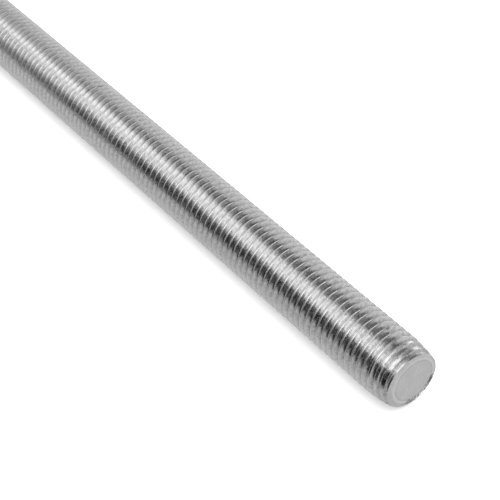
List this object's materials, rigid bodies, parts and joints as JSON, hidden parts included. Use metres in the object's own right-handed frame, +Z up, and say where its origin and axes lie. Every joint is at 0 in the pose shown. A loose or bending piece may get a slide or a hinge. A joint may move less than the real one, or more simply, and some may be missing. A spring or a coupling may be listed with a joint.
{
  "type": "threaded rod",
  "caption": "Straight steel rod with a right-hand metric thread over its whole length and a pointed, cut-flat end at each side",
  "frame": {"origin": "on the rod's axis, halfway between the two end faces", "axes": "+X runs along the rod's axis to the cut end that shows best, +Z is up with the rod lying level, +Y completes the right-handed frame"},
  "size_m": [0.2, 0.016, 0.016],
  "materials": {
    "plated_steel": "bright zinc plate over a rolled thread, with duller cut ends"
  },
  "bodies": {
    "root": {"rod": "plated_steel"}
  },
  "joints": []
}
